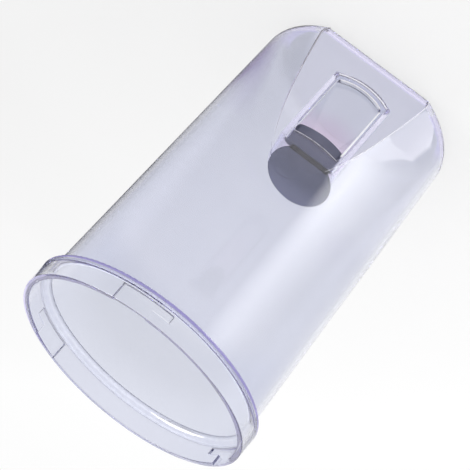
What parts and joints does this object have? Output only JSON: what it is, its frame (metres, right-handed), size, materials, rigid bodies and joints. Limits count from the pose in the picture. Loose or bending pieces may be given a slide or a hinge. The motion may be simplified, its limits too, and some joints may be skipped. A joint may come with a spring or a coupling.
{
  "type": "cyclone dust bin",
  "caption": "Clear tapered vacuum dust cup with a stepped bayonet collar at its mouth, a slanted flat holding the inlet window, and a rubber non-return flap on the scoop inside.",
  "frame": {"origin": "centre of the closed end's outside face", "axes": "+Z along the cup's axis towards the open mouth, -Y out of the side with the slanted flat"},
  "size_m": [0.1044, 0.1044, 0.1582],
  "materials": {
    "clear_plastic": "clear, faint violet tint, polished",
    "grey_rubber": "dark grey, satin"
  },
  "bodies": {
    "bin": {"bin_shell": "clear_plastic", "valve_head": "grey_rubber"},
    "flap": {"inlet_flap": "grey_rubber"}
  },
  "joints": [
    {"name": "flap_hinge", "type": "hinge", "parent": "bin", "child": "flap", "pos_m": [-0.0028, -0.0408, 0.06068], "axis": [1, 0, 0], "range_deg": [0, 65], "stiffness_Nm_per_rad": 0.002}
  ]
}
